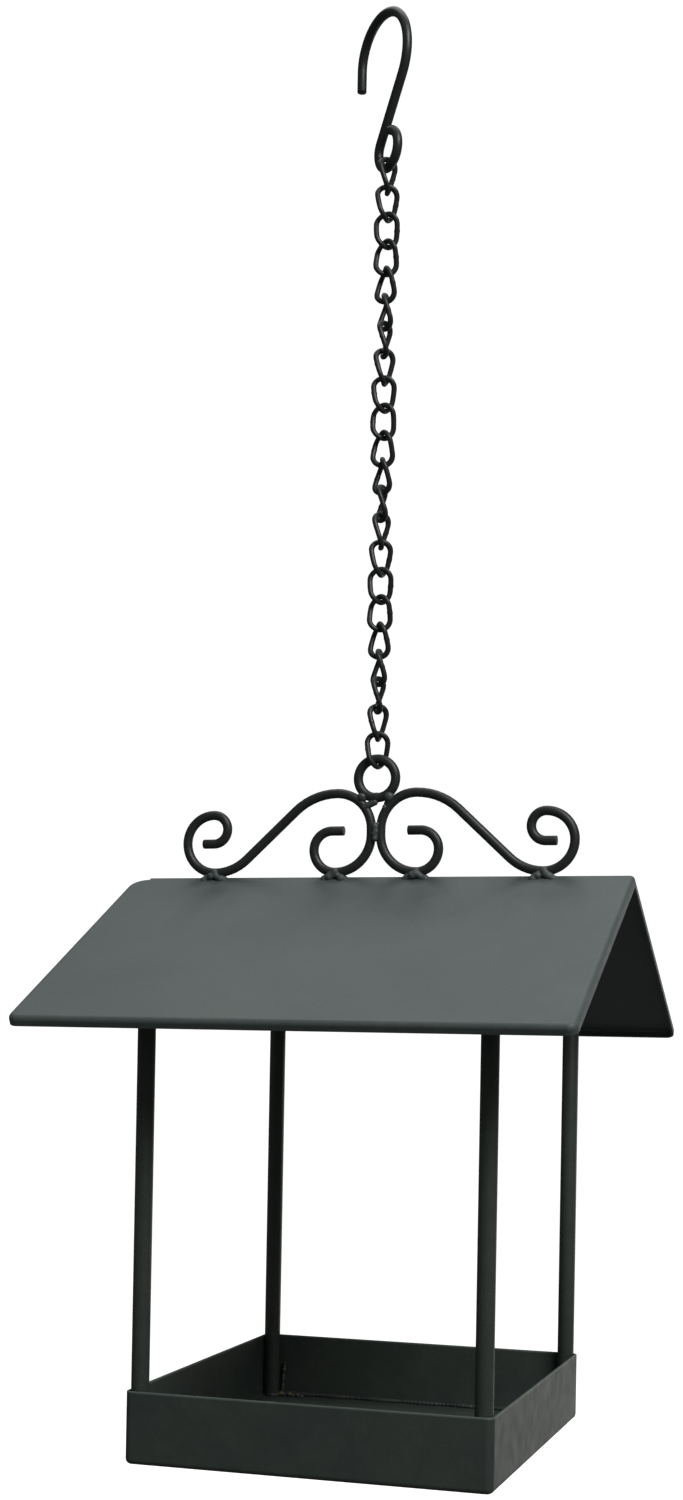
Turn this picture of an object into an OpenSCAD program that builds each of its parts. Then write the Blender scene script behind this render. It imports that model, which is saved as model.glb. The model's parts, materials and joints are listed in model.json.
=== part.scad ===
/* [Wire] */
// Diameter of the round bar of the hook, ring and scrolls
bar_d = 4.5; // [4:0.25:5.5]

/* [Hook] */
// Centreline radius of the hook's arch on its free side
arch_free_r = 19.5; // [16:0.5:28]
// Centreline radius of the arch on the shank's side
arch_shank_r = 22; // [18:0.5:26]
// Straight length at the hook's free end
hook_tip = 10; // [4:1:25]
// Height from the seat down to the centre of the eye
hook_drop = 62.9; // [55:0.5:85]
// Sideways distance from the chain line to the top of the arch, towards the free end
arch_lead = 6.3; // [0:0.1:9]
// Centreline radius of the eye
eye_r = 8.6; // [7.8:0.2:11]
// Angle of the hook's plane from the roof's ridge, seen from above
hook_turn = -43; // [-90:1:90]

/* [Chain] */
// Diameter of the link wire
link_wire = 2.6; // [2:0.1:3]
// Outside width of a link
link_w = 12.4; // [11.8:0.2:15]
// Height that each link adds to the chain
link_pitch = 12.9; // [12:0.1:18]
// Twist of a link from one end to the other
link_twist = 62.5; // [0:2.5:70]
// Play between two joined wires
play = 0.1; // [0.05:0.05:0.3]

/* [Ring and scrolls] */
// Centreline radius of the hanging ring
ring_r = 9.1; // [8:0.1:12]
// Radius of the scroll's loop beside the centre line
loop_r = 17.5; // [15:0.5:22]
// Outer radius of the inner curl, at the ridge
curl_foot_r = 10.65; // [9:0.05:13]
// Radius of the inner curl's top
curl_top_r = 8.9; // [7:0.1:9]
// Straight length at the inner curl's tip
curl_tip = 6; // [2:0.5:8]
// Straight upright stretch between the loop and the shoulder
upright = 2.75; // [0:0.25:6]
// Radius of the shoulder, from the upright to the crest
shoulder_r = 17; // [15:0.5:22]
// Radius of the crest, from the top to the slope
crest_r = 30; // [24:1:36]
// Angle at which the scroll runs down to its outer foot
scroll_slope = 43; // [38:1:50]
// Radius at the outer foot, before the outer curl
foot_r = 23.5; // [18:0.5:28]
// Radius of the outer curl's lower quarter
outer_low_r = 14.3; // [13.5:0.1:17]
// Radius of the outer curl's upper quarter
outer_high_r = 13.45; // [12.5:0.05:16]
// Radius of the outer curl's end
outer_end_r = 6.9; // [5.5:0.1:7.2]
// Straight length at the outer curl's tip
outer_tip = 5.3; // [2:0.1:7]

/* [Roof] */
// Thickness of the roof and tray sheet
sheet = 1.2; // [0.8:0.1:1.6]
// Length of the roof along the ridge
roof_l = 245; // [200:1:300]
// Depth of the roof from eave to eave, seen from above
roof_d = 272; // [230:1:320]
// Pitch of each roof panel
roof_pitch = 26.9; // [20:0.1:35]
// Height of the turned-down edge, square to the panel
hem = 4.6; // [4:0.1:8]
// Corner radius of a panel at the eave
eave_corner_r = 4.5; // [3.5:0.5:8]
// Corner radius of a panel at the left end of the ridge
peak_corner_r = 9; // [5:1:14]
// Outside radius of the sheet's bends
bend_r = 2.4; // [1.8:0.1:3]

/* [Tray and posts] */
// Width of the tray along the ridge
tray_w = 165; // [130:1:190]
// Depth of the tray
tray_d = 187; // [150:1:215]
// Height of the tray
tray_h = 32; // [20:1:60]
// Corner radius of the tray
tray_corner_r = 3.5; // [3:0.5:8]
// Height from the ridge down to the underside of the tray
house_h = 263.4; // [200:1:340]
// Diameter of the four posts
post_d = 8; // [6:0.5:10]

/* [Welds] */
// Leg of the weld fillets at the posts
weld_leg = 2; // [1.5:0.25:3]
// Radius of the weld beads on the scrolls and ring
bead_r = 2.9; // [2.8:0.1:3.2]

/* [Hidden] */
$fn = 64;
link_count = 22;
// clearance between pieces that are welded together
seam = 0.05;
// each stretch of a bent bar stops this far short of the next, inside the core that joins them
joint_gap = 0.05;
// clearance where the eye's wire end closes on the shank
eye_gap = 0.3;
// steps round a link: along each end arc and along each straight side
end_steps = 10;
side_steps = 3;
wire_sides = 8;

bar_r = bar_d / 2;
// the welds are hollowed out for the bars with this diameter
weld_bore = bar_d + 0.5 * seam;
// how far a link's wire lies from the bar or wire that it hooks round
link_grip = link_wire + play;
bar_grip = (bar_d + link_wire) / 2 + play;

// hook, in its own plane: the seat is the origin and lies on the chain line
seat_r = arch_shank_r - bar_r;
arch_z = -sqrt(pow(seat_r, 2) - pow(arch_lead, 2));
free_arch_z = arch_z + arch_shank_r - arch_free_r;
// the shank is the crossing tangent of the arch's circle and the eye
hook_span = norm([arch_lead, hook_drop + arch_z]);
shank_lean = asin((arch_shank_r + eye_r) / hook_span) - atan(arch_lead / (hook_drop + arch_z));
shank_len = sqrt(pow(hook_span, 2) - pow(arch_shank_r + eye_r, 2));
eye_turn = 360 - acos(1 - (bar_d + eye_gap) / eye_r);
eye_foot_z = -hook_drop - eye_r;

// chain: the first link hangs in the eye, the ring hangs in the last link
link_half = (link_pitch + link_grip) / 2;
link_r = (link_w - link_wire) / 2;
first_link_z = eye_foot_z + bar_grip - link_half;
last_link_foot_z = first_link_z - (link_count - 1) * link_pitch - link_half;
// a link's top lies square to the wire that it hooks round
first_link_mid = hook_turn + 90 + link_twist / 2;
link_step = link_twist - 90;

// house: ring, scrolls and ridge
ring_z = last_link_foot_z + bar_grip - ring_r;
wire_off = bar_r + seam;
shoulder_x = wire_off + shoulder_r;
shoulder_h = wire_off + loop_r + upright;
ring_reach = shoulder_r + ring_r + bar_d + seam;
ring_h = shoulder_h + sqrt(pow(ring_reach, 2) - pow(shoulder_x, 2));
ridge_z = ring_z - ring_h;
crest_h = shoulder_h + shoulder_r;
slope_drop = crest_h - wire_off - (crest_r + foot_r) * (1 - cos(scroll_slope));
slope_len = slope_drop / sin(scroll_slope);
inner_foot_x = wire_off + loop_r;
outer_foot_x = shoulder_x + (crest_r + foot_r) * sin(scroll_slope) + slope_len * cos(scroll_slope);

// roof
panel_l = roof_d / 2 / cos(roof_pitch);
under_ridge = sheet / cos(roof_pitch);

// tray and posts
tray_z = ridge_z - house_h;
post_x = tray_w / 2 - sheet - post_d / 2 - seam;
post_y = tray_d / 2 - sheet - post_d / 2 - seam;
floor_z = tray_z + sheet + seam;

steel_black = [0.13, 0.15, 0.15];
steel_green = [0.20, 0.22, 0.21];
sheet_green = [0.32, 0.35, 0.35];
weld_grey = [0.27, 0.29, 0.28];

function link_name(i) = str("link_", i < 10 ? "0" : "", i);
LINKS = [for (i = [1:link_count]) link_name(i)];

// A round bar bent in the XZ plane, starting at the origin along +Z.
// Each bend is [straight length before it, radius, angle], and a positive angle turns towards +X.
module bent_bar(bends, d, i = 0) {
    if (i < len(bends)) {
        lead = bends[i][0];
        r = bends[i][1];
        turn = bends[i][2];
        side = turn < 0 ? -1 : 1;
        if (i > 0) bar_joint(d);
        if (lead > 0) translate([0, 0, joint_gap]) cylinder(h = lead - 2 * joint_gap, d = d);
        translate([0, 0, lead]) {
            if (lead > 0 && turn != 0) bar_joint(d);
            if (turn != 0) mirror([side < 0 ? 1 : 0, 0, 0]) bar_bend(abs(turn), r, d);
            translate([side * r * (1 - cos(turn)), 0, r * sin(abs(turn))])
                rotate([0, turn, 0])
                    bent_bar(bends, d, i + 1);
        }
    }
}

// One bend, towards +X
module bar_bend(turn, r, d) {
    trim = asin(joint_gap / r);
    translate([r, 0, 0])
        rotate([90, 0, 0])
            rotate([0, 0, 180 - turn + trim])
                rotate_extrude(angle = turn - 2 * trim)
                    translate([r, 0]) circle(d = d);
}

// Closed ring of bar, upright in the XZ plane
module bar_ring(r, d) {
    rotate([90, 0, 0]) rotate_extrude() translate([r, 0]) circle(d = d);
}

// Short core that joins two stretches of a bar, a hair wider than the bar
module bar_joint(d) {
    translate([0, 0, -4 * joint_gap]) cylinder(h = 8 * joint_gap, d = d + joint_gap / 2);
}

// Hook: free end, arch, slanting shank and closed eye
module hook() {
    color(steel_black)
        rotate([0, 0, hook_turn])
            translate([-arch_lead - arch_free_r, 0, free_arch_z - hook_tip])
                bent_bar([
                    [hook_tip, arch_free_r, 90],
                    [0, arch_shank_r, 90 + shank_lean],
                    [shank_len, eye_r, -eye_turn]
                ], bar_d);
}

// Centreline of a flat link: position and direction, as [sideways, height, d sideways, d height]
link_straight = link_half - link_r;
function link_end(side, k) = let (a = 180 * k / end_steps)
    [side * link_r * cos(a), side * (link_straight + link_r * sin(a)), -side * sin(a), side * cos(a)];
function link_side(side, k) = [-side * link_r, side * link_straight * (1 - 2 * k / side_steps), 0, -side];
LINK_PATH = [
    for (side = [1, -1]) each concat(
        [for (k = [0:end_steps]) link_end(side, k)],
        [for (k = [1:side_steps - 1]) link_side(side, k)]
    )
];

// The same centreline twisted about the link's long axis, with two directions square to the wire
function twist_at(z) = -link_twist * z / (2 * link_half);
function twisted(p) = let (
        a = twist_at(p[1]),
        across = [cos(a), sin(a), 0],
        out = [-sin(a), cos(a), 0],
        spin = -link_twist / (2 * link_half) * PI / 180,
        along = p[2] * across + p[0] * p[3] * spin * out + [0, 0, p[3]],
        t = along / norm(along),
        n1 = out - (out * t) * t,
        n = n1 / norm(n1)
    ) [p[0] * across + [0, 0, p[1]], n, cross(t, n)];

// One curb link, its middle at the origin and its width along X there
module link_body() {
    rings = [for (p = LINK_PATH) twisted(p)];
    count = len(rings);
    points = [
        for (s = rings, k = [0:wire_sides - 1])
            let (a = 360 * (k + 0.5) / wire_sides)
                s[0] + link_wire / 2 * (cos(a) * s[1] + sin(a) * s[2])
    ];
    faces = [
        for (i = [0:count - 1], k = [0:wire_sides - 1])
            let (
                j = (i + 1) % count,
                m = (k + 1) % wire_sides,
                a = i * wire_sides + k,
                b = i * wire_sides + m,
                c = j * wire_sides + m,
                d = j * wire_sides + k
            ) each [[a, d, c], [a, c, b]]
    ];
    polyhedron(points, faces);
}

// Link number i from the top, each turned a little from the one above
module link(i) {
    color(steel_black)
        translate([0, 0, first_link_z - (i - 1) * link_pitch])
            rotate([0, 0, first_link_mid + (i - 1) * link_step])
                link_body();
}

// Welded ring that the last link holds
module ring() {
    color(steel_black)
        translate([0, 0, ring_z]) bar_ring(ring_r, bar_d);
}

// One scroll, right-hand side, as a bar of diameter d along the scroll's centreline
module scroll(d) {
    translate([inner_foot_x + curl_foot_r - curl_top_r - curl_tip, 0,
               ridge_z + wire_off + curl_foot_r + curl_top_r])
        rotate([0, 90, 0])
            bent_bar([
                [curl_tip, curl_top_r, 90],
                [0, curl_foot_r, 90],
                [0, loop_r, 90],
                [upright, shoulder_r, 90],
                [0, crest_r, scroll_slope],
                [slope_len, foot_r, -scroll_slope],
                [0, outer_low_r, -90],
                [0, outer_high_r, -90],
                [0, outer_end_r, -180],
                [outer_tip, 0, 0]
            ], d);
}

module scroll_right() {
    color(steel_green) scroll(bar_d);
}

module scroll_left() {
    color(steel_green) mirror([1, 0, 0]) scroll(bar_d);
}

// Beads that hold the ring between the two shoulders
module ring_welds() {
    near = (shoulder_r + bar_r + seam / 2) / ring_reach;
    color(weld_grey)
        for (side = [0, 1])
            mirror([side, 0, 0])
                difference() {
                    translate([shoulder_x * (1 - near), 0, ridge_z + shoulder_h + (ring_h - shoulder_h) * near])
                        sphere(r = bead_r);
                    translate([0, 0, ring_z]) bar_ring(ring_r, weld_bore, $fn = 160);
                    translate([shoulder_x, 0, ridge_z + shoulder_h]) bar_ring(shoulder_r, weld_bore, $fn = 160);
                }
}

// Beads in front of and behind the line where the two scrolls touch
module scroll_weld() {
    color(weld_grey)
        difference() {
            translate([0, 0, ridge_z + shoulder_h - upright / 2]) sphere(r = bead_r);
            for (x = [-wire_off, wire_off])
                translate([x, 0, ridge_z + shoulder_h - upright / 2 - 2 * bead_r])
                    cylinder(h = 4 * bead_r, d = weld_bore);
        }
}

// Space that a roof folded at the ridge takes up, for cutting what stands on it or under it
module below(top_z) {
    reach = roof_d;
    translate([0, 0, top_z])
        rotate([90, 0, 90])
            linear_extrude(height = 2 * roof_l, center = true)
                polygon([[0, 0], [reach, -reach * tan(roof_pitch)], [reach, -2 * reach],
                         [-reach, -2 * reach], [-reach, -reach * tan(roof_pitch)]]);
}

// Beads that hold each scroll's two feet on the ridge
module ridge_welds() {
    color(weld_grey)
        for (side = [0, 1], foot = [[inner_foot_x, loop_r], [outer_foot_x, foot_r]])
            mirror([side, 0, 0])
                difference() {
                    translate([foot[0], 0, ridge_z]) sphere(r = bead_r);
                    translate([foot[0], 0, ridge_z + wire_off + foot[1]]) bar_ring(foot[1], weld_bore);
                    below(ridge_z + seam);
                }
}

// Section of a bent sheet edge: from the flat at x = 0, round the bend and up to wall_h
module edge_section(wall_h) {
    translate([0, bend_r])
        intersection() {
            difference() {
                circle(r = bend_r);
                circle(r = bend_r - sheet);
            }
            translate([0, -bend_r]) square(bend_r);
        }
    translate([bend_r - sheet, bend_r]) square([sheet, wall_h - bend_r]);
}

// Straight stretch of edge that runs along +X, with its outside towards +Y
module straight_edge(length, wall_h) {
    rotate([90, 0, 90]) linear_extrude(height = length) edge_section(wall_h);
}

// Quarter of a rounded corner between +X and +Y, its axis at the origin
module round_corner(r, wall_h) {
    rotate_extrude(angle = 90) translate([r - bend_r, 0]) edge_section(wall_h);
}

// Flat of a pan whose corners have these centres and radii, listed clockwise from the left back
module pan_flat(centres, radii) {
    linear_extrude(height = sheet) {
        polygon([
            for (i = [0:3], a = [180 - 90 * i, 90 - 90 * i])
                centres[i] + (radii[i] - bend_r) * [cos(a), sin(a)]
        ]);
        for (i = [0:3])
            if (radii[i] > bend_r) translate(centres[i]) circle(r = radii[i] - bend_r);
    }
}

function pan_centres(w, d, radii) = [
    for (i = [0:3]) let (x = i == 0 || i == 3 ? -1 : 1, y = i < 2 ? 1 : -1)
        [x * (w / 2 - radii[i]), y * (d / 2 - radii[i])]
];

// Edge number i of a pan and the corner before it, clockwise from the left back
module pan_edge(centres, radii, i, wall_h) {
    start = centres[i];
    end = centres[(i + 1) % 4];
    run = norm(i % 2 == 0 ? [end[0] - start[0], 0] : [0, end[1] - start[1]]);
    translate(start)
        rotate([0, 0, -90 * i])
            translate([0, radii[i] - bend_r, 0]) straight_edge(run, wall_h);
}

module pan_corner(centres, radii, i, wall_h) {
    translate(centres[i]) rotate([0, 0, 90 - 90 * i]) round_corner(radii[i], wall_h);
}

// One roof panel, outer face up: its ridge edge lies on the X axis and it runs towards -Y
module roof_panel() {
    radii = [peak_corner_r, bend_r, eave_corner_r, eave_corner_r];
    centres = pan_centres(roof_l, panel_l, radii);
    flat_end = roof_l / 2 - bend_r;
    translate([0, -panel_l / 2, 0])
        mirror([0, 0, 1]) {
            pan_flat(centres, radii);
            for (i = [1:3]) pan_edge(centres, radii, i, hem);
            for (i = [0, 2, 3]) pan_corner(centres, radii, i, hem);
            // up to the ridge: the flat, and the right-hand edge
            translate([peak_corner_r - roof_l / 2, panel_l / 2 - bend_r, 0])
                cube([roof_l - peak_corner_r - bend_r, bend_r, sheet]);
            translate([flat_end, panel_l / 2, 0])
                rotate([0, 0, -90]) straight_edge(bend_r, hem);
        }
}

// Roof: one sheet folded at the ridge, with its outer edges turned down
module roof() {
    color(sheet_green)
        for (side = [0, 1])
            mirror([0, side, 0])
                intersection() {
                    translate([0, 0, ridge_z]) rotate([roof_pitch, 0, 0]) roof_panel();
                    translate([-roof_l, -roof_d, ridge_z - roof_d])
                        cube([2 * roof_l, roof_d, 2 * roof_d]);
                }
}

// Tray: a pan of bent sheet, open at the top
module tray() {
    radii = [for (i = [0:3]) tray_corner_r];
    centres = pan_centres(tray_w, tray_d, radii);
    color(steel_green)
        translate([0, 0, tray_z]) {
            pan_flat(centres, radii);
            for (i = [0:3]) {
                pan_edge(centres, radii, i, tray_h);
                pan_corner(centres, radii, i, tray_h);
            }
        }
}

// One post, from the tray's floor to the underside of the roof, cut to the roof's pitch
module post(x, y) {
    color(steel_green)
        intersection() {
            translate([x, y, floor_z]) rotate_extrude() post_profile(ridge_z - floor_z);
            below(ridge_z - under_ridge - seam);
        }
}

// Half section of a post, whose foot is chamfered to clear the tray's bends
module post_profile(height) {
    foot = bend_r - sheet;
    polygon([[0, 0], [post_d / 2 - foot, 0], [post_d / 2, foot], [post_d / 2, height], [0, height]]);
}

module post_front_left() {
    post(-post_x, -post_y);
}

module post_front_right() {
    post(post_x, -post_y);
}

module post_back_left() {
    post(-post_x, post_y);
}

module post_back_right() {
    post(post_x, post_y);
}

// Weld collars round the tops of the posts, under the roof
module post_top_welds() {
    color(weld_grey)
        for (x = [-post_x, post_x], y = [-post_y, post_y])
            difference() {
                intersection() {
                    translate([x, y, floor_z])
                        cylinder(h = ridge_z - floor_z, d = post_d + 2 * weld_leg);
                    below(ridge_z - under_ridge - seam);
                }
                below(ridge_z - under_ridge - weld_leg / cos(roof_pitch));
                translate([x, y, floor_z]) cylinder(h = ridge_z - floor_z, d = post_d + 2 * seam);
            }
}

// Weld fillets at the posts' feet, on the side away from the tray's walls
module post_foot_welds() {
    inner_r = post_d / 2 + seam;
    color(weld_grey)
        for (sx = [0, 1], sy = [0, 1])
            mirror([sx, 0, 0]) mirror([0, sy, 0])
                translate([-post_x, -post_y, floor_z])
                    rotate_extrude(angle = 90)
                        polygon([[inner_r, 0], [inner_r + weld_leg, 0], [inner_r, weld_leg]]);
}

hook();
for (i = [1:link_count])
    link(i);
ring();
scroll_left();
scroll_right();
ring_welds();
scroll_weld();
ridge_welds();
roof();
post_front_left();
post_front_right();
post_back_left();
post_back_right();
post_top_welds();
post_foot_welds();
tray();
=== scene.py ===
import json
import math
import random

import bmesh
import bpy
from mathutils import Matrix, Vector


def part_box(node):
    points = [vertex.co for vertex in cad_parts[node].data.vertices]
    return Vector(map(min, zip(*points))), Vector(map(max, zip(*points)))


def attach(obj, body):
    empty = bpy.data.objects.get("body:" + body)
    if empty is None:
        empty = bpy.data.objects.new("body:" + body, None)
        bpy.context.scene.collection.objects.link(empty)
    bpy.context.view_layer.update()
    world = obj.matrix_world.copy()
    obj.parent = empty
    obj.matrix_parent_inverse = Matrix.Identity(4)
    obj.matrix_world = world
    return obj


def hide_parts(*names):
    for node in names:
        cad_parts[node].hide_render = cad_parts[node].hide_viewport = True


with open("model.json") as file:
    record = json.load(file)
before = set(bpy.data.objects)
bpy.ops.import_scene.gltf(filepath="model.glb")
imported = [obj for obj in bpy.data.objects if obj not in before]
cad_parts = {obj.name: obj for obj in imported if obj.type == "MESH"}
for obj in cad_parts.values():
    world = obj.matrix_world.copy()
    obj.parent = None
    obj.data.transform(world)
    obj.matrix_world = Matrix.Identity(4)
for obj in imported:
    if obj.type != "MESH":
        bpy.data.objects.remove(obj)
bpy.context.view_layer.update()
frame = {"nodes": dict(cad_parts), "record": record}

bl_info = {
    "name": "Hanging bird feeder",
    "version": (1, 0, 0),
    "blender": (4, 5, 0),
    "location": "View3D > Sidebar > Feeder",
    "description": "Finishes the welded steel bird feeder: hook, chain, scrolls, roof, posts and tray",
    "category": "Object",
}

MM = 0.001
HOUSE = "house"
LINKS = [n for n in frame["record"]["behaviour"]["bodies"] if n.startswith("link_")]
RIDGE_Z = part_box("roof")[1].z
TRAY_LOW, TRAY_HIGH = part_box("tray")

# Each bend of a bar is (straight length before it, radius, angle towards +X), in millimetres and degrees.
HOOK_START = (-25.8, -26.22)
HOOK_BENDS = [(10, 19.5, 90), (0, 22, 125.17), (32.49, 8.6, -296.22)]
SCROLL_START = (15.55, 21.85)
SCROLL_BENDS = [
    (6, 8.9, 90), (0, 10.65, 90), (0, 17.5, 90), (2.75, 17, 90), (0, 30, 43),
    (33.5, 23.5, -43), (0, 14.3, -90), (0, 13.45, -90), (0, 6.9, -180), (5.3, 0, 0),
]

POSTS = ("post_front_left", "post_front_right", "post_back_left", "post_back_right")

# Each streak of painted shade, standing in for a shallow dent that a weld drew into the roof, is (X of its
# weld on the ridge in millimetres, sideways drift as a share of its fall).
DENT_SHADE_STREAKS = ((-74.0, -0.1), (-19.8, 0.12), (19.8, 0.27), (74.0, -0.12))


def linear(code):
    """Turns an sRGB hex value into the linear colour that the shaders take."""
    levels = [int(code[i:i + 2], 16) / 255 for i in (0, 2, 4)]
    return tuple(v / 12.92 if v <= 0.04045 else ((v + 0.055) / 1.055) ** 2.4 for v in levels)


# ---------------------------------------------------------------- sizes and colours


class FeederSizes(bpy.types.PropertyGroup):
    bar: bpy.props.FloatProperty(
        name="Bar", description="Diameter of the round bar of hook, ring and scrolls",
        default=4.5 * MM, min=0.001, unit="LENGTH")
    hook_turn: bpy.props.FloatProperty(
        name="Hook turn", description="Angle of the hook's plane from the ridge, seen from above",
        default=math.radians(-43), subtype="ANGLE", unit="ROTATION")
    link_wire: bpy.props.FloatProperty(
        name="Link wire", description="Diameter of the chain's wire",
        default=2.6 * MM, min=0.001, unit="LENGTH")
    link_width: bpy.props.FloatProperty(
        name="Link width", description="Outside width of a link",
        default=12.4 * MM, min=0.004, unit="LENGTH")
    link_height: bpy.props.FloatProperty(
        name="Link height", description="Outside height of a link",
        default=18.2 * MM, min=0.006, unit="LENGTH")
    link_twist: bpy.props.FloatProperty(
        name="Link twist", description="Turn of a link from one end wire to the other",
        default=math.radians(62.5), subtype="ANGLE", unit="ROTATION")
    ring_radius: bpy.props.FloatProperty(
        name="Ring radius", description="Centreline radius of the hanging ring",
        default=9.1 * MM, min=0.004, unit="LENGTH")
    post: bpy.props.FloatProperty(
        name="Post", description="Diameter of a post", default=8 * MM, min=0.003, unit="LENGTH")
    sheet: bpy.props.FloatProperty(
        name="Sheet", description="Thickness of the roof and tray sheet",
        default=1.2 * MM, min=0.0005, unit="LENGTH")
    pitch: bpy.props.FloatProperty(
        name="Roof pitch", description="Slope of each side of the roof",
        default=math.radians(26.9), subtype="ANGLE", unit="ROTATION")


def coat_colour(name, words, code):
    return bpy.props.FloatVectorProperty(
        name=name, description=words, default=linear(code), size=3, min=0, max=1, subtype="COLOR")


class FeederColours(bpy.types.PropertyGroup):
    roof: coat_colour("Roof coat", "Main colour of the coat on the roof", "5d6664")
    roof_cool: coat_colour("Roof coat, cool", "Cooler patches of the roof's coat", "586161")
    tray: coat_colour("Tray coat", "Main colour of the coat on the tray", "4b534c")
    tray_cool: coat_colour("Tray coat, cool", "Cooler patches of the tray's coat", "454d4a")
    bar: coat_colour("Bar coat", "Main colour of the coat on the posts", "4c524c")
    # painted shade: the scrolls and the ring carry the posts' paint, darkened here to stand in for shade
    scroll: coat_colour("Scroll coat", "Main colour of the coat on the scrolls and the ring", "333836")
    spatter: coat_colour("Spatter", "Colour of bare weld spatter in the tray's corner", "9a8a5c")
    # painted shade: the hook and chain carry the tray's paint, darkened here to stand in for shade
    chain: coat_colour("Chain coat", "Main colour of the coat on the hook and chain", "2f3333")
    floor: coat_colour("Floor", "Colour of the studio floor", "fbfbfa")


# ---------------------------------------------------------------- modelling steps


def sizes():
    return bpy.context.scene.feeder_sizes


def colours():
    return bpy.context.scene.feeder_colours


def deselect():
    if bpy.context.object and bpy.context.object.mode == "EDIT":
        bpy.ops.object.mode_set(mode="OBJECT")
    bpy.ops.object.select_all(action="DESELECT")


def make_active(piece):
    deselect()
    piece.select_set(True)
    bpy.context.view_layer.objects.active = piece


def settle(piece):
    """Puts the piece's place, turn and scale into its mesh."""
    make_active(piece)
    bpy.ops.object.transform_apply(location=True, rotation=True, scale=True)


def add_modifier(piece, kind, **settings):
    """Adds a modifier, sets it and applies it."""
    make_active(piece)
    mod = piece.modifiers.new(kind.title(), kind)
    for key, value in settings.items():
        setattr(mod, key, value)
    bpy.ops.object.modifier_apply(modifier=mod.name)


def hand_over(piece, name, body, slot, material, *nodes):
    """Names a finished piece, gives it its coat and lets it ride on its body in place of its CAD nodes."""
    piece.name = name
    piece.data.name = name
    piece.data.materials.clear()
    piece.data.materials.append(material)
    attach(piece, body)
    if nodes:
        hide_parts(*nodes)


def bend_bar(radius, start, heading, bends, sides, step=6.0, level=0.0):
    """A round bar in the XZ plane, extruded along its straights and spun round its bends."""
    deselect()
    at = Vector((start[0] * MM, 0, start[1] * MM + level))
    bpy.ops.mesh.primitive_circle_add(
        vertices=sides, radius=radius, fill_type="NGON", location=at, rotation=(0, heading, 0))
    bar = bpy.context.object
    settle(bar)
    bpy.ops.object.mode_set(mode="EDIT")
    bpy.ops.mesh.select_all(action="SELECT")
    for straight, bend, turn in bends:
        ahead = Vector((math.sin(heading), 0, math.cos(heading)))
        if straight:
            run = ahead * straight * MM
            bpy.ops.mesh.extrude_region_move(TRANSFORM_OT_translate={"value": run})
            at += run
        if turn:
            side = math.copysign(1, turn)
            right = Vector((math.cos(heading), 0, -math.sin(heading)))
            centre = at + right * side * bend * MM
            angle = math.radians(turn)
            bpy.ops.mesh.spin(
                steps=max(2, round(abs(turn) / step)), angle=-angle, center=centre, axis=(0, 1, 0))
            heading += angle
            at = centre - Vector((math.cos(heading), 0, -math.sin(heading))) * side * bend * MM
    bpy.ops.mesh.select_all(action="SELECT")
    bpy.ops.mesh.remove_doubles(threshold=1e-6)
    bpy.ops.mesh.normals_make_consistent(inside=False)
    bpy.ops.object.mode_set(mode="OBJECT")
    return bar


def ease_ends(bar, sides, width):
    """Rounds the sawn ends of a bar a little."""
    make_active(bar)
    bpy.ops.object.mode_set(mode="EDIT")
    bpy.ops.mesh.select_mode(type="FACE")
    bpy.ops.mesh.select_all(action="DESELECT")
    bpy.ops.mesh.select_face_by_sides(number=sides, type="EQUAL")
    bpy.ops.mesh.region_to_loop()
    bpy.ops.mesh.bevel(offset=width, segments=3, affect="EDGES")
    bpy.ops.object.mode_set(mode="OBJECT")


def smooth(piece, degrees=40):
    make_active(piece)
    bpy.ops.object.shade_smooth_by_angle(angle=math.radians(degrees))


def weld_bead(dabs, voxel=0.35 * MM, rounds=3):
    """Dabs of weld metal, run together: each is (centre in metres, radius, height factor)."""
    deselect()
    made = []
    for centre, radius, squash in dabs:
        bpy.ops.mesh.primitive_ico_sphere_add(
            subdivisions=3, radius=radius, location=centre, scale=(1, 1, squash))
        made.append(bpy.context.object)
    deselect()
    for dab in made:
        dab.select_set(True)
    bpy.context.view_layer.objects.active = made[0]
    bpy.ops.object.join()
    bead = bpy.context.object
    settle(bead)
    add_modifier(bead, "REMESH", mode="VOXEL", voxel_size=voxel)
    add_modifier(bead, "SMOOTH", factor=0.5, iterations=rounds)
    smooth(bead, 80)
    return bead


def copy_of(node):
    """A merged copy of a CAD node, whose flats are single faces again."""
    deselect()
    piece = bpy.data.objects.new(node + "_copy", frame["nodes"][node].data.copy())
    bpy.context.scene.collection.objects.link(piece)
    make_active(piece)
    bpy.ops.mesh.customdata_custom_splitnormals_clear()
    bpy.ops.object.mode_set(mode="EDIT")
    bpy.ops.mesh.select_all(action="SELECT")
    bpy.ops.mesh.remove_doubles(threshold=1e-6)
    bpy.ops.mesh.dissolve_limited(angle_limit=math.radians(0.5))
    bpy.ops.object.mode_set(mode="OBJECT")
    return piece


# ---------------------------------------------------------------- coats


def add_node(tree, kind, settings=None, links=None):
    """Adds a node, sets its attributes or inputs, and links {input: output socket} into it."""
    node = tree.nodes.new(kind)
    for key, value in (settings or {}).items():
        if isinstance(key, str) and hasattr(node, key):
            setattr(node, key, value)
        else:
            node.inputs[key].default_value = value
    for key, socket in (links or {}).items():
        tree.links.new(socket, node.inputs[key])
    return node


def ramp(tree, value, low, high, at_low, at_high):
    """A value that eases from at_low to at_high as the input goes from low to high."""
    settings = {"interpolation_type": "SMOOTHSTEP", "From Min": low, "From Max": high,
                "To Min": at_low, "To Max": at_high}
    return add_node(tree, "ShaderNodeMapRange", settings, {"Value": value}).outputs["Result"]


def maths(tree, operation, first, second):
    """One operation on two values, each a socket or a number."""
    node = add_node(tree, "ShaderNodeMath", {"operation": operation})
    for i, value in enumerate((first, second)):
        if isinstance(value, (int, float)):
            node.inputs[i].default_value = value
        else:
            tree.links.new(value, node.inputs[i])
    return node.outputs[0]


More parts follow.
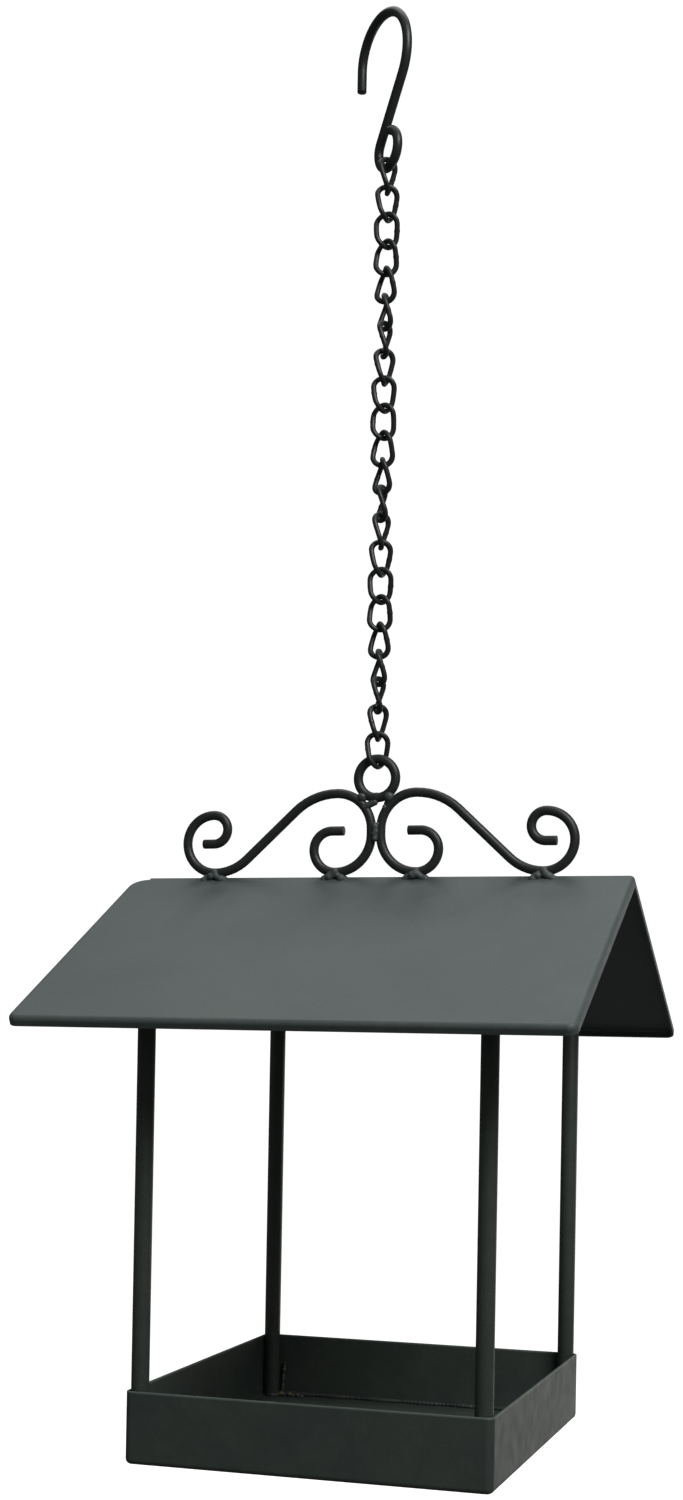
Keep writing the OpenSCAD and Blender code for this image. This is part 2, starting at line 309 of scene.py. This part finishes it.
def painted_dent_shade(tree, place):
    """Painted shade: darker streaks that run down the sheet from the welds on the ridge, in place of the
    shading of shallow dents that the welding drew.
    """
    axes = add_node(tree, "ShaderNodeSeparateXYZ", links={0: place})
    down = maths(tree, "ABSOLUTE", axes.outputs["Y"], 0.0)
    fade = ramp(tree, down, 8 * MM, 62 * MM, 1.0, 0.0)
    total = None
    for foot, drift in DENT_SHADE_STREAKS:
        across = maths(tree, "SUBTRACT", axes.outputs["X"], maths(tree, "MULTIPLY", down, drift))
        offset = maths(tree, "ABSOLUTE", maths(tree, "SUBTRACT", across, foot * MM), 0.0)
        streak = maths(tree, "MULTIPLY", ramp(tree, offset, 0.0, 11 * MM, 0.2, 0.0), fade)
        total = streak if total is None else maths(tree, "ADD", total, streak)
    return maths(tree, "SUBTRACT", 1.0, total)


def painted_rim_highlight(tree, place):
    """Painted highlight: lighter along the top edge, standing in for the light that the rim catches from
    above.
    """
    height = add_node(tree, "ShaderNodeSeparateXYZ", links={0: place}).outputs["Z"]
    return ramp(tree, height, TRAY_HIGH.z - 1.1 * MM, TRAY_HIGH.z - 0.5 * MM, 1.0, 2.3)


def powder_coat(name, main, cool, patch=55.0, roughness=(0.36, 0.52), peel=0.5, grit=0.5, marks=None):
    """Polyester powder coat, baked on steel: satin, faintly mottled, with a fine orange peel and grit."""
    material = bpy.data.materials.new(name)
    material.use_nodes = True
    tree = material.node_tree
    tree.nodes.clear()
    out = add_node(tree, "ShaderNodeOutputMaterial")
    place = add_node(tree, "ShaderNodeTexCoord").outputs["Object"]
    # uneven powder: soft patches, cooler or warmer
    patches = add_node(tree, "ShaderNodeTexNoise",
                       {"Scale": 1 / (patch * MM), "Detail": 3.0, "Roughness": 0.55}, {"Vector": place})
    blend = add_node(tree, "ShaderNodeValToRGB", links={"Fac": patches.outputs["Fac"]})
    blend.color_ramp.elements[0].position = 0.36
    blend.color_ramp.elements[0].color = (*main, 1)
    blend.color_ramp.elements[1].position = 0.64
    blend.color_ramp.elements[1].color = (*cool, 1)
    # fine grit of the powder, 0.25 mm in truth and drawn at 0.9 mm so that it shows
    grains = add_node(tree, "ShaderNodeTexNoise",
                      {"Scale": 1 / (0.9 * MM), "Detail": 2.0, "Roughness": 0.6}, {"Vector": place})
    tone = add_node(tree, "ShaderNodeMapRange",
                    {"From Min": 0.3, "From Max": 0.7, "To Min": 1 - 0.22 * grit, "To Max": 1 + 0.22 * grit},
                    {"Value": grains.outputs["Fac"]})
    # handling marks and dust, 9 mm smears
    smears = add_node(tree, "ShaderNodeTexNoise",
                      {"Scale": 1 / (9 * MM), "Detail": 5.0, "Roughness": 0.62}, {"Vector": place})
    shade = add_node(tree, "ShaderNodeMapRange",
                     {"From Min": 0.25, "From Max": 0.75, "To Min": 0.9, "To Max": 1.1},
                     {"Value": smears.outputs["Fac"]})
    level = maths(tree, "MULTIPLY", tone.outputs["Result"], shade.outputs["Result"])
    # marks scale the colour: streaks of painted shade on the roof, a painted highlight along the tray's rim
    if marks:
        level = maths(tree, "MULTIPLY", level, marks(tree, place))
    colour = add_node(tree, "ShaderNodeVectorMath", {"operation": "SCALE"},
                      {0: blend.outputs["Color"], "Scale": level})
    gloss = add_node(tree, "ShaderNodeMapRange",
                     {"From Min": 0.3, "From Max": 0.7, "To Min": roughness[0], "To Max": roughness[1]},
                     {"Value": smears.outputs["Fac"]})
    # orange peel, 1.6 mm waves
    waves = add_node(tree, "ShaderNodeTexNoise",
                     {"Scale": 1 / (1.6 * MM), "Detail": 1.5, "Roughness": 0.5}, {"Vector": place})
    peel_bump = add_node(tree, "ShaderNodeBump", {"Strength": peel, "Distance": 0.09 * MM},
                         {"Height": waves.outputs["Fac"]})
    grit_bump = add_node(tree, "ShaderNodeBump", {"Strength": grit, "Distance": 0.04 * MM},
                         {"Height": grains.outputs["Fac"], "Normal": peel_bump.outputs["Normal"]})
    shader = add_node(tree, "ShaderNodeBsdfPrincipled", {"IOR": 1.5, "Metallic": 0.0},
                      {"Base Color": colour.outputs["Vector"], "Roughness": gloss.outputs["Result"],
                       "Normal": grit_bump.outputs["Normal"]})
    tree.links.new(shader.outputs["BSDF"], out.inputs["Surface"])
    return material


def coat(name):
    """The feeder's coats by name, each made once."""
    found = bpy.data.materials.get(name)
    if found:
        return found
    c = colours()
    # sprayed and baked on the folded roof: the broadest patches and the dullest satin, with streaks of
    # painted shade below the ridge welds
    if name == "Powder_coat_on_folded_sheet":
        return powder_coat(name, c.roof, c.roof_cool, patch=60.0, roughness=(0.44, 0.58),
                           peel=0.35, grit=0.35, marks=painted_dent_shade)
    # sprayed and baked on the tray: darker, with a painted highlight along the top of the rim
    if name == "Powder_coat_on_tray_sheet":
        return powder_coat(name, c.tray, c.tray_cool, patch=45.0, roughness=(0.42, 0.56),
                           peel=0.4, grit=0.4, marks=painted_rim_highlight)
    # baked on drawn bar: satin, with a clear line of light down each post
    if name == "Powder_coat_on_bar":
        return powder_coat(name, c.bar, c.tray, patch=25.0, roughness=(0.36, 0.5))
    # baked on bent bar: smooth, and nearly black because the posts' paint is darkened here as painted shade
    if name == "Powder_coat_on_scroll_with_painted_shade":
        return powder_coat(name, c.scroll, c.chain, patch=25.0, roughness=(0.34, 0.48),
                           peel=0.35, grit=0.25)
    # weld metal that the coat missed: rough, in dull ochre specks
    if name == "Bare_weld_spatter":
        return powder_coat(name, c.spatter, c.tray_cool, patch=1.6, roughness=(0.5, 0.7),
                           peel=0.9, grit=0.9)
    # baked on the hook and the chain's wire: the glossiest, and the darkest because the tray's paint is
    # darkened here as painted shade
    if name == "Powder_coat_on_chain_with_painted_shade":
        return powder_coat(name, c.chain, c.scroll, patch=14.0, roughness=(0.3, 0.44),
                           peel=0.3, grit=0.15)
    # baked over weld beads: lumpy, so it glitters a little
    return powder_coat(name, c.bar, c.roof_cool, patch=6.0, roughness=(0.34, 0.5), peel=0.9, grit=0.8)


# ---------------------------------------------------------------- pieces


class PieceOperator(bpy.types.Operator):
    bl_options = {"REGISTER", "UNDO"}


class FEEDER_OT_hook(PieceOperator):
    """Bends the hook from one round bar: arch, shank and eye"""
    bl_idname = "feeder.hook"
    bl_label = "Hook"

    def execute(self, context):
        s = sizes()
        sides = 24
        hook = bend_bar(s.bar / 2, HOOK_START, 0.0, HOOK_BENDS, sides, step=5.0)
        ease_ends(hook, sides, 0.5 * MM)
        hook.rotation_euler = (0, 0, s.hook_turn)
        settle(hook)
        smooth(hook)
        hand_over(hook, "hook_bar", "hook", "hook_steel", coat("Powder_coat_on_chain_with_painted_shade"), "hook")
        return {"FINISHED"}


class FEEDER_OT_chain(PieceOperator):
    """Models one twisted link and copies it down the chain"""
    bl_idname = "feeder.chain"
    bl_label = "Chain"

    def execute(self, context):
        s = sizes()
        wire = s.link_wire / 2
        end = s.link_width / 2 - wire
        half = s.link_height / 2 - wire - end
        side_steps = 6
        deselect()
        bpy.ops.mesh.primitive_circle_add(vertices=14, radius=wire, location=(end, 0, -half))
        link = bpy.context.object
        settle(link)
        bpy.ops.object.mode_set(mode="EDIT")
        bpy.ops.mesh.select_all(action="SELECT")
        for way in (1, -1):
            for _ in range(side_steps):
                bpy.ops.mesh.extrude_region_move(
                    TRANSFORM_OT_translate={"value": (0, 0, way * 2 * half / side_steps)})
            bpy.ops.mesh.spin(steps=18, angle=math.pi, center=(0, 0, way * half), axis=(0, 1, 0))
        bpy.ops.mesh.select_all(action="SELECT")
        bpy.ops.mesh.remove_doubles(threshold=1e-5)
        bpy.ops.mesh.normals_make_consistent(inside=False)
        # the butt weld in the middle of one side stands a little proud
        bpy.ops.mesh.select_all(action="DESELECT")
        edit = bmesh.from_edit_mesh(link.data)
        for vert in edit.verts:
            vert.select = vert.co.x > 0 and abs(vert.co.z) < half / side_steps
        edit.select_flush_mode()
        bmesh.update_edit_mesh(link.data)
        bpy.ops.transform.shrink_fatten(value=0.16 * MM)
        bpy.ops.object.mode_set(mode="OBJECT")
        full_turn = s.link_twist * s.link_height / (s.link_height - s.link_wire)
        add_modifier(link, "SIMPLE_DEFORM", deform_method="TWIST", deform_axis="Z", angle=-full_turn)
        smooth(link, 60)
        first_turn = s.hook_turn + math.pi / 2 + s.link_twist / 2
        for i, name in enumerate(LINKS):
            low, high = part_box(name)
            turned = Matrix.Translation((0, 0, (low.z + high.z) / 2)) @ Matrix.Rotation(
                first_turn + i * (s.link_twist - math.pi / 2), 4, "Z")
            copy = bpy.data.objects.new(name + "_wire", link.data.copy())
            bpy.context.scene.collection.objects.link(copy)
            copy.data.transform(turned)
            hand_over(copy, name + "_wire", name, "chain_steel", coat("Powder_coat_on_chain_with_painted_shade"), name)
        bpy.data.objects.remove(link)
        return {"FINISHED"}


class FEEDER_OT_ring(PieceOperator):
    """Makes the hanging ring, with its butt weld at the bottom"""
    bl_idname = "feeder.ring"
    bl_label = "Ring"

    def execute(self, context):
        s = sizes()
        low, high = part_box("ring")
        centre = (low + high) / 2
        deselect()
        bpy.ops.mesh.primitive_torus_add(
            major_radius=s.ring_radius, minor_radius=s.bar / 2, major_segments=72, minor_segments=24,
            location=centre, rotation=(math.pi / 2, 0, 0))
        ring = bpy.context.object
        settle(ring)
        bpy.ops.object.mode_set(mode="EDIT")
        bpy.ops.mesh.select_all(action="DESELECT")
        edit = bmesh.from_edit_mesh(ring.data)
        for vert in edit.verts:
            vert.select = vert.co.z < centre.z and abs(vert.co.x) < 0.9 * MM
        edit.select_flush_mode()
        bmesh.update_edit_mesh(ring.data)
        bpy.ops.transform.shrink_fatten(value=0.22 * MM)
        bpy.ops.object.mode_set(mode="OBJECT")
        smooth(ring, 60)
        hand_over(ring, "hanging_ring", HOUSE, "hook_steel", coat("Powder_coat_on_scroll_with_painted_shade"), "ring")
        return {"FINISHED"}


class FEEDER_OT_scrolls(PieceOperator):
    """Bends the two scrolls on the ridge, each from one bar"""
    bl_idname = "feeder.scrolls"
    bl_label = "Scrolls"

    def execute(self, context):
        s = sizes()
        sides = 24
        for name, way in (("right", 1), ("left", -1)):
            scroll = bend_bar(s.bar / 2, SCROLL_START, math.pi / 2, SCROLL_BENDS, sides, level=RIDGE_Z)
            ease_ends(scroll, sides, 0.45 * MM)
            if way < 0:
                scroll.rotation_euler = (0, 0, math.pi)
                settle(scroll)
            smooth(scroll)
            hand_over(scroll, f"scroll_{name}_bar", HOUSE, "scroll_steel", coat("Powder_coat_on_scroll_with_painted_shade"),
                      f"scroll_{name}")
        return {"FINISHED"}


class FEEDER_OT_scroll_welds(PieceOperator):
    """Lays the weld beads between ring, scrolls and ridge"""
    bl_idname = "feeder.scroll_welds"
    bl_label = "Scroll welds"

    def execute(self, context):
        low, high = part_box("ring_welds")
        x, z = high.x - 2.7 * MM, (low.z + high.z) / 2
        chance = random.Random(5)
        dabs = []
        # the left bead is a nub with a tail under the ring, the right one a run of dabs down the scroll
        dabs.append(((-x, -0.6 * MM, z), 2.5 * MM, 1.0))
        for k in range(6):
            dabs.append(((-x + (1.4 + 0.95 * k) * MM, -0.9 * MM, z - (4.6 - 0.42 * k) * MM),
                         1.75 * MM, 0.95))
        for k in range(9):
            dabs.append(((x - (0.6 + 0.62 * k) * MM, chance.uniform(-1.4, 0.6) * MM,
                          z - (0.2 + 1.6 * k) * MM), chance.uniform(1.0, 1.6) * MM, 1.1))
        dabs.append(((x - 0.6 * MM, -0.8 * MM, z), 2.5 * MM, 1.0))
        hand_over(weld_bead(dabs), "ring_weld_beads", HOUSE, "weld_bead", coat("Powder_coat_on_weld"),
                  "ring_welds")

        low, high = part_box("scroll_weld")
        z = (low.z + high.z) / 2
        dabs = []
        for k in range(7):
            for y in (-1.7, 1.7):
                dabs.append(((chance.uniform(-0.3, 0.3) * MM, y * MM, z + (k - 3) * 1.1 * MM),
                             chance.uniform(1.3, 1.7) * MM, 0.9))
        hand_over(weld_bead(dabs, rounds=5), "scroll_weld_beads", HOUSE, "weld_bead",
                  coat("Powder_coat_on_weld"), "scroll_weld")

        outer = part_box("ridge_welds")[1].x - 2.9 * MM
        inner = sizes().bar / 2 + 17.55 * MM
        dabs = []
        for x in (-outer, -inner, inner, outer):
            # a mound on each side of the ridge, widest where it meets the sheet
            for side in (-1, 1):
                for k in range(-4, 5):
                    y = side * chance.uniform(1.2, 2.6)
                    height = 2.6 - 0.75 * abs(k) - abs(y) * math.tan(sizes().pitch)
                    dabs.append(((x + 1.2 * k * MM, y * MM, RIDGE_Z + height * MM),
                                 chance.uniform(1.6, 2.1) * MM, 1.0))
            dabs.append(((x + 0.4 * MM, -1.9 * MM, RIDGE_Z + 2.4 * MM), 1.9 * MM, 1.1))
        hand_over(weld_bead(dabs), "ridge_weld_beads", HOUSE, "weld_bead",
                  coat("Powder_coat_on_folded_sheet"), "ridge_welds")
        return {"FINISHED"}


class FEEDER_OT_roof(PieceOperator):
    """Copies the folded roof sheet and eases its cut edges"""
    bl_idname = "feeder.roof"
    bl_label = "Roof"

    def execute(self, context):
        roof = copy_of("roof")
        add_modifier(roof, "BEVEL", width=0.18 * MM, segments=2, limit_method="ANGLE",
                     angle_limit=math.radians(40))
        smooth(roof, 35)
        add_modifier(roof, "WEIGHTED_NORMAL", keep_sharp=True, weight=80)
        hand_over(roof, "roof_sheet", HOUSE, "roof_sheet", coat("Powder_coat_on_folded_sheet"), "roof")
        return {"FINISHED"}


class FEEDER_OT_posts(PieceOperator):
    """Cuts the four posts to the roof's pitch"""
    bl_idname = "feeder.posts"
    bl_label = "Posts"

    def execute(self, context):
        s = sizes()
        for node in POSTS:
            low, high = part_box(node)
            centre = (low + high) / 2
            front = -1 if centre.y < 0 else 1
            deselect()
            bpy.ops.mesh.primitive_cylinder_add(
                vertices=40, radius=s.post / 2, depth=high.z - low.z, location=centre)
            post = bpy.context.object
            settle(post)
            bpy.ops.object.mode_set(mode="EDIT")
            bpy.ops.mesh.select_all(action="SELECT")
            inner = Vector((centre.x, centre.y - front * s.post / 2, high.z))
            bpy.ops.mesh.bisect(
                plane_co=inner, plane_no=(0, front * math.sin(s.pitch), math.cos(s.pitch)),
                use_fill=True, clear_outer=True)
            bpy.ops.mesh.select_all(action="SELECT")
            bpy.ops.mesh.normals_make_consistent(inside=False)
            bpy.ops.object.mode_set(mode="OBJECT")
            add_modifier(post, "BEVEL", width=0.25 * MM, segments=2, limit_method="ANGLE",
                         angle_limit=math.radians(40))
            smooth(post, 35)
            hand_over(post, node + "_bar", HOUSE, "post_steel", coat("Powder_coat_on_bar"), node)
        return {"FINISHED"}


class FEEDER_OT_post_welds(PieceOperator):
    """Lays the welds at the tops and feet of the posts"""
    bl_idname = "feeder.post_welds"
    bl_label = "Post welds"

    def execute(self, context):
        s = sizes()
        chance = random.Random(11)
        tops, feet = [], []
        for node in POSTS:
            low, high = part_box(node)
            x, y = (low.x + high.x) / 2, (low.y + high.y) / 2
            front = -1 if y < 0 else 1
            radius = s.post / 2
            for k in range(16):
                angle = math.tau * k / 16
                dx, dy = math.cos(angle), math.sin(angle)
                fall = (front * dy + 1) * radius * math.tan(s.pitch)
                tops.append(((x + dx * (radius + 0.3 * MM), y + dy * (radius + 0.3 * MM),
                              high.z - fall - 0.9 * MM), chance.uniform(0.95, 1.45) * MM, 0.9))
                inward = -dx * math.copysign(1, x) > -0.25 and -dy * front > -0.25
                if inward:
                    feet.append(((x + dx * (radius + 0.35 * MM), y + dy * (radius + 0.35 * MM),
                                  low.z + 0.5 * MM), chance.uniform(0.9, 1.5) * MM, 0.85))
        hand_over(weld_bead(tops, 0.4 * MM), "post_top_beads", HOUSE, "weld_bead",
                  coat("Powder_coat_on_weld"), "post_top_welds")
        hand_over(weld_bead(feet, 0.4 * MM), "post_foot_beads", HOUSE, "weld_bead",
                  coat("Powder_coat_on_weld"), "post_foot_welds")
        return {"FINISHED"}


class FEEDER_OT_tray(PieceOperator):
    """Copies the pressed tray and eases its rim"""
    bl_idname = "feeder.tray"
    bl_label = "Tray"

    def execute(self, context):
        tray = copy_of("tray")
        add_modifier(tray, "BEVEL", width=0.45 * MM, segments=3, limit_method="ANGLE",
                     angle_limit=math.radians(40))
        smooth(tray, 35)
        add_modifier(tray, "WEIGHTED_NORMAL", keep_sharp=True, weight=80)
        hand_over(tray, "tray_pan", HOUSE, "tray_sheet", coat("Powder_coat_on_tray_sheet"), "tray")
        return {"FINISHED"}


class FEEDER_OT_tray_seam(PieceOperator):
    """Runs the rough weld seam along the foot of the tray's back wall, with spatter at one post"""
    bl_idname = "feeder.tray_seam"
    bl_label = "Tray seam"

    def execute(self, context):
        s = sizes()
        chance = random.Random(23)
        floor = TRAY_LOW.z + s.sheet
        wall = TRAY_HIGH.y - s.sheet
        left = TRAY_LOW.x + 11 * MM
        right = TRAY_HIGH.x - 11 * MM
        dabs = []
        steps = 70
        for k in range(steps + 1):
            x = left + (right - left) * k / steps
            wander = math.sin(k * 0.55) + 0.6 * math.sin(k * 0.23 + 1)
            dabs.append(((x, wall - (1.6 + 0.3 * wander) * MM, floor + 0.8 * MM),
                         (1.45 + 0.25 * wander + chance.uniform(-0.1, 0.15)) * MM, 0.75))
        hand_over(weld_bead(dabs, 0.45 * MM), "tray_back_seam", HOUSE, "weld_bead",
                  coat("Powder_coat_on_tray_sheet"))

        post_low, post_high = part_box("post_back_left")
        dabs = []
        for k in range(10):
            dabs.append(((post_high.x + (0.9 + 0.12 * k) * MM, wall - 1.0 * MM,
                          floor + (1.5 + 1.6 * k) * MM), chance.uniform(0.6, 1.1) * MM, 1.2))
        for k in range(10):
            dabs.append(((post_high.x + (1.5 + 1.3 * k) * MM, wall - chance.uniform(3.0, 6.0) * MM,
                          floor + 0.4 * MM), chance.uniform(0.8, 1.5) * MM, 0.8))
        hand_over(weld_bead(dabs, 0.3 * MM, 1), "tray_corner_spatter", HOUSE, "weld_bead",
                  coat("Powder_coat_on_weld"))
        dabs = []
        for k in range(3):
            for _ in range(3):
                dabs.append(((post_high.x + (1.8 + 4.6 * k + chance.uniform(-0.8, 0.8)) * MM,
                              wall - chance.uniform(5.0, 6.5) * MM, floor + 1.1 * MM),
                             (1.25 - 0.25 * k) * MM, 0.9))
        hand_over(weld_bead(dabs, 0.3 * MM, 1), "tray_bare_spatter", HOUSE, "weld_bead",
                  coat("Bare_weld_spatter"))
        return {"FINISHED"}


# ---------------------------------------------------------------- stage


def plain_material(name, colour, glow):
    """Matt paper sweep, lit evenly."""
    material = bpy.data.materials.new(name)
    material.use_nodes = True
    tree = material.node_tree
    tree.nodes.clear()
    out = add_node(tree, "ShaderNodeOutputMaterial")
    matt = add_node(tree, "ShaderNodeBsdfDiffuse", {"Color": (*colour, 1)})
    light = add_node(tree, "ShaderNodeEmission", {"Color": (*colour, 1), "Strength": glow})
    both = add_node(tree, "ShaderNodeAddShader", links={0: matt.outputs[0], 1: light.outputs[0]})
    tree.links.new(both.outputs[0], out.inputs["Surface"])
    return material


def soft_light(name, place, aim, size, watts, colour):
    data = bpy.data.lights.new(name, "AREA")
    data.shape = "RECTANGLE"
    data.size, data.size_y = size
    data.energy = watts
    data.color = colour
    lamp = bpy.data.objects.new(name, data)
    lamp.location = place
    lamp.rotation_euler = (Vector(aim) - Vector(place)).to_track_quat("-Z", "Y").to_euler()
    bpy.context.scene.collection.objects.link(lamp)


class FEEDER_OT_stage(PieceOperator):
    """Sets the pale sweep, the soft lights and the camera"""
    bl_idname = "feeder.stage"
    bl_label = "Stage"

    def execute(self, context):
        scene = context.scene
        floor_z = TRAY_LOW.z - 0.3
        deselect()
        bpy.ops.mesh.primitive_circle_add(
            vertices=96, radius=4.0, fill_type="NGON", location=(0, 0, floor_z))
        sweep = context.object
        settle(sweep)
        bpy.ops.object.mode_set(mode="EDIT")
        bpy.ops.mesh.select_all(action="SELECT")
        for rise, grow in ((0.1, 1.09), (0.3, 1.07), (0.6, 1.05), (3.0, 1.0)):
            bpy.ops.mesh.extrude_region_move(TRANSFORM_OT_translate={"value": (0, 0, rise)})
            bpy.ops.transform.resize(value=(grow, grow, 1), center_override=(0, 0, 0))
        bpy.ops.mesh.normals_make_consistent(inside=True)
        bpy.ops.object.mode_set(mode="OBJECT")
        smooth(sweep, 60)
        sweep.name = "paper_sweep"
        sweep.data.materials.append(plain_material("Matt_paper_sweep", colours().floor, 1.0))
        sweep.visible_diffuse = False
        sweep.visible_glossy = False
        sweep.visible_shadow = False

        world = bpy.data.worlds.new("Soft_room")
        world.use_nodes = True
        world.node_tree.nodes["Background"].inputs["Color"].default_value = (*linear("e6eae8"), 1)
        world.node_tree.nodes["Background"].inputs["Strength"].default_value = 0.09
        scene.world = world
        middle = (0, 0, -0.5)
        soft_light("top_softbox", (-0.2, 0.45, 1.2), middle, (1.4, 1.4), 9.2, linear("fbfffe"))
        soft_light("key_softbox", (1.05, -0.95, 0.9), middle, (1.0, 1.0), 22, linear("ffffff"))
        soft_light("back_card", (0.5, 1.25, -0.6), middle, (0.8, 1.1), 1.8, linear("fffdf8"))

        lens = bpy.data.cameras.new("view_camera")
        camera = bpy.data.objects.new("view_camera", lens)
        lens.sensor_width = 36
        lens.lens = 49.09
        lens.shift_y = 0.1734
        lens.clip_start, lens.clip_end = 0.05, 30
        turn, lift, roll = math.radians(17.26), math.radians(-0.62), math.radians(1.03)
        ahead = Vector((-math.sin(turn) * math.cos(lift), math.cos(turn) * math.cos(lift), -math.sin(lift)))
        flat_right = Vector((math.cos(turn), math.sin(turn), 0))
        flat_up = flat_right.cross(ahead)
        right = math.cos(roll) * flat_right + math.sin(roll) * flat_up
        up = math.cos(roll) * flat_up - math.sin(roll) * flat_right
        frame_of_view = Matrix((right, up, -ahead)).transposed().to_4x4()
        frame_of_view.translation = (0.27064, -0.92063, -0.4793)
        camera.matrix_world = frame_of_view
        scene.collection.objects.link(camera)
        scene.camera = camera
        scene.view_settings.view_transform = "Standard"
        return {"FINISHED"}


PIECE_OPERATORS = (
    FEEDER_OT_hook, FEEDER_OT_chain, FEEDER_OT_ring, FEEDER_OT_scrolls, FEEDER_OT_scroll_welds,
    FEEDER_OT_roof, FEEDER_OT_posts, FEEDER_OT_post_welds, FEEDER_OT_tray, FEEDER_OT_tray_seam,
    FEEDER_OT_stage,
)


class FEEDER_PT_panel(bpy.types.Panel):
    bl_label = "Bird feeder"
    bl_idname = "FEEDER_PT_panel"
    bl_space_type = "VIEW_3D"
    bl_region_type = "UI"
    bl_category = "Feeder"

    def draw(self, context):
        for group in (context.scene.feeder_sizes, context.scene.feeder_colours):
            for key in group.bl_rna.properties.keys():
                if key not in ("rna_type", "name"):
                    self.layout.prop(group, key)
        for piece in PIECE_OPERATORS:
            self.layout.operator(piece.bl_idname)


def register():
    for item in (FeederSizes, FeederColours, *PIECE_OPERATORS, FEEDER_PT_panel):
        bpy.utils.register_class(item)
    bpy.types.Scene.feeder_sizes = bpy.props.PointerProperty(type=FeederSizes)
    bpy.types.Scene.feeder_colours = bpy.props.PointerProperty(type=FeederColours)


def unregister():
    del bpy.types.Scene.feeder_sizes
    del bpy.types.Scene.feeder_colours
    for item in (FEEDER_PT_panel, *reversed(PIECE_OPERATORS), FeederColours, FeederSizes):
        bpy.utils.unregister_class(item)


def main():
    register()
    bpy.ops.feeder.hook()
    bpy.ops.feeder.chain()
    bpy.ops.feeder.ring()
    bpy.ops.feeder.scrolls()
    bpy.ops.feeder.scroll_welds()
    bpy.ops.feeder.roof()
    bpy.ops.feeder.posts()
    bpy.ops.feeder.post_welds()
    bpy.ops.feeder.tray()
    bpy.ops.feeder.tray_seam()
    bpy.ops.feeder.stage()
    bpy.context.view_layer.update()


if __name__ == "__main__":
    main()
